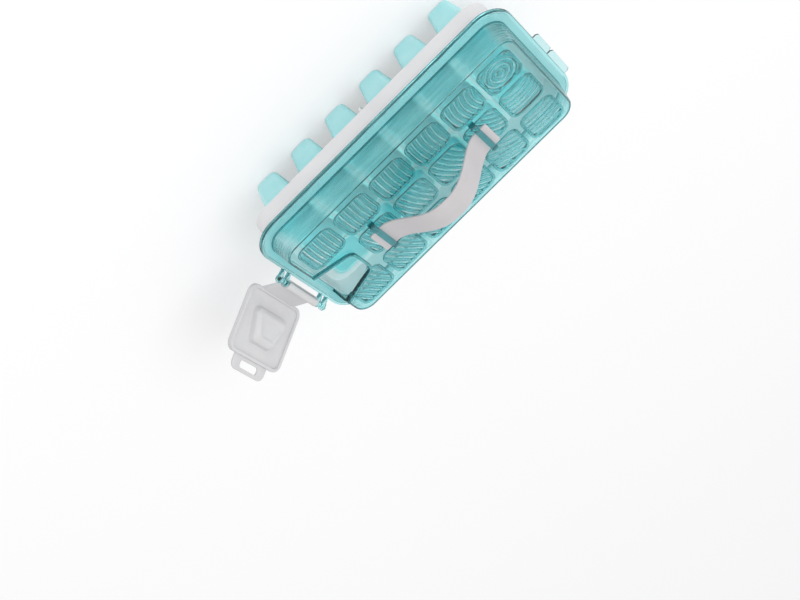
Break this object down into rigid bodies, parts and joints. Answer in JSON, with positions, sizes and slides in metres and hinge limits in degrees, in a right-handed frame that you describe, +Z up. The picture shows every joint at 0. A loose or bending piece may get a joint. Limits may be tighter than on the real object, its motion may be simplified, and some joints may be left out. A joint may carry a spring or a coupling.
{
  "type": "push-out ice cube tray with bin lid",
  "caption": "Ice cube tray with soft push-out cups in a stiff frame, under a clear lift-off bin lid with a pouring mouth, hinged flap and carry strap.",
  "frame": {"origin": "on the supporting surface, below the centre of the whole object with its flap open as drawn", "axes": "+X from the pouring end to the far end, +Y across the tray, +Z up"},
  "size_m": [0.3824, 0.161, 0.124],
  "materials": {
    "frame_plastic": "fine satin moulded",
    "lid_plastic": "clear tinted moulded",
    "strap_elastomer": "matt soft moulded",
    "flap_elastomer": "matt soft moulded",
    "cup_elastomer": "translucent soft moulded"
  },
  "bodies": {
    "tray": {"tray_frame": "frame_plastic"},
    "lid": {"bin_lid": "lid_plastic", "carry_strap": "strap_elastomer"},
    "flap": {"pour_flap": "flap_elastomer"},
    "cup_body_1_1": {"cup_1_1": "cup_elastomer"},
    "cup_body_1_2": {"cup_1_2": "cup_elastomer"},
    "cup_body_1_3": {"cup_1_3": "cup_elastomer"},
    "cup_body_2_1": {"cup_2_1": "cup_elastomer"},
    "cup_body_2_2": {"cup_2_2": "cup_elastomer"},
    "cup_body_2_3": {"cup_2_3": "cup_elastomer"},
    "cup_body_3_1": {"cup_3_1": "cup_elastomer"},
    "cup_body_3_2": {"cup_3_2": "cup_elastomer"},
    "cup_body_3_3": {"cup_3_3": "cup_elastomer"},
    "cup_body_4_1": {"cup_4_1": "cup_elastomer"},
    "cup_body_4_2": {"cup_4_2": "cup_elastomer"},
    "cup_body_4_3": {"cup_4_3": "cup_elastomer"},
    "cup_body_5_1": {"cup_5_1": "cup_elastomer"},
    "cup_body_5_2": {"cup_5_2": "cup_elastomer"},
    "cup_body_5_3": {"cup_5_3": "cup_elastomer"},
    "cup_body_6_1": {"cup_6_1": "cup_elastomer"},
    "cup_body_6_2": {"cup_6_2": "cup_elastomer"},
    "cup_body_6_3": {"cup_6_3": "cup_elastomer"}
  },
  "joints": [
    {"name": "lid_lift", "type": "slide", "parent": "tray", "child": "lid", "axis": [0, 0, 1], "range_m": [0, 0.08]},
    {"name": "flap_hinge", "type": "hinge", "parent": "lid", "child": "flap", "pos_m": [-0.10747, -0.006, 0.0727], "axis": [0, 1, 0], "range_deg": [-31, 149]},
    {"name": "push_1_1", "type": "slide", "parent": "tray", "child": "cup_body_1_1", "axis": [0, 0, 1], "range_m": [0, 0.01], "stiffness_N_per_m": 800},
    {"name": "push_1_2", "type": "slide", "parent": "tray", "child": "cup_body_1_2", "axis": [0, 0, 1], "range_m": [0, 0.01], "stiffness_N_per_m": 800},
    {"name": "push_1_3", "type": "slide", "parent": "tray", "child": "cup_body_1_3", "axis": [0, 0, 1], "range_m": [0, 0.01], "stiffness_N_per_m": 800},
    {"name": "push_2_1", "type": "slide", "parent": "tray", "child": "cup_body_2_1", "axis": [0, 0, 1], "range_m": [0, 0.01], "stiffness_N_per_m": 800},
    {"name": "push_2_2", "type": "slide", "parent": "tray", "child": "cup_body_2_2", "axis": [0, 0, 1], "range_m": [0, 0.01], "stiffness_N_per_m": 800},
    {"name": "push_2_3", "type": "slide", "parent": "tray", "child": "cup_body_2_3", "axis": [0, 0, 1], "range_m": [0, 0.01], "stiffness_N_per_m": 800},
    {"name": "push_3_1", "type": "slide", "parent": "tray", "child": "cup_body_3_1", "axis": [0, 0, 1], "range_m": [0, 0.01], "stiffness_N_per_m": 800},
    {"name": "push_3_2", "type": "slide", "parent": "tray", "child": "cup_body_3_2", "axis": [0, 0, 1], "range_m": [0, 0.01], "stiffness_N_per_m": 800},
    {"name": "push_3_3", "type": "slide", "parent": "tray", "child": "cup_body_3_3", "axis": [0, 0, 1], "range_m": [0, 0.01], "stiffness_N_per_m": 800},
    {"name": "push_4_1", "type": "slide", "parent": "tray", "child": "cup_body_4_1", "axis": [0, 0, 1], "range_m": [0, 0.01], "stiffness_N_per_m": 800},
    {"name": "push_4_2", "type": "slide", "parent": "tray", "child": "cup_body_4_2", "axis": [0, 0, 1], "range_m": [0, 0.01], "stiffness_N_per_m": 800},
    {"name": "push_4_3", "type": "slide", "parent": "tray", "child": "cup_body_4_3", "axis": [0, 0, 1], "range_m": [0, 0.01], "stiffness_N_per_m": 800},
    {"name": "push_5_1", "type": "slide", "parent": "tray", "child": "cup_body_5_1", "axis": [0, 0, 1], "range_m": [0, 0.01], "stiffness_N_per_m": 800},
    {"name": "push_5_2", "type": "slide", "parent": "tray", "child": "cup_body_5_2", "axis": [0, 0, 1], "range_m": [0, 0.01], "stiffness_N_per_m": 800},
    {"name": "push_5_3", "type": "slide", "parent": "tray", "child": "cup_body_5_3", "axis": [0, 0, 1], "range_m": [0, 0.01], "stiffness_N_per_m": 800},
    {"name": "push_6_1", "type": "slide", "parent": "tray", "child": "cup_body_6_1", "axis": [0, 0, 1], "range_m": [0, 0.01], "stiffness_N_per_m": 800},
    {"name": "push_6_2", "type": "slide", "parent": "tray", "child": "cup_body_6_2", "axis": [0, 0, 1], "range_m": [0, 0.01], "stiffness_N_per_m": 800},
    {"name": "push_6_3", "type": "slide", "parent": "tray", "child": "cup_body_6_3", "axis": [0, 0, 1], "range_m": [0, 0.01], "stiffness_N_per_m": 800}
  ]
}
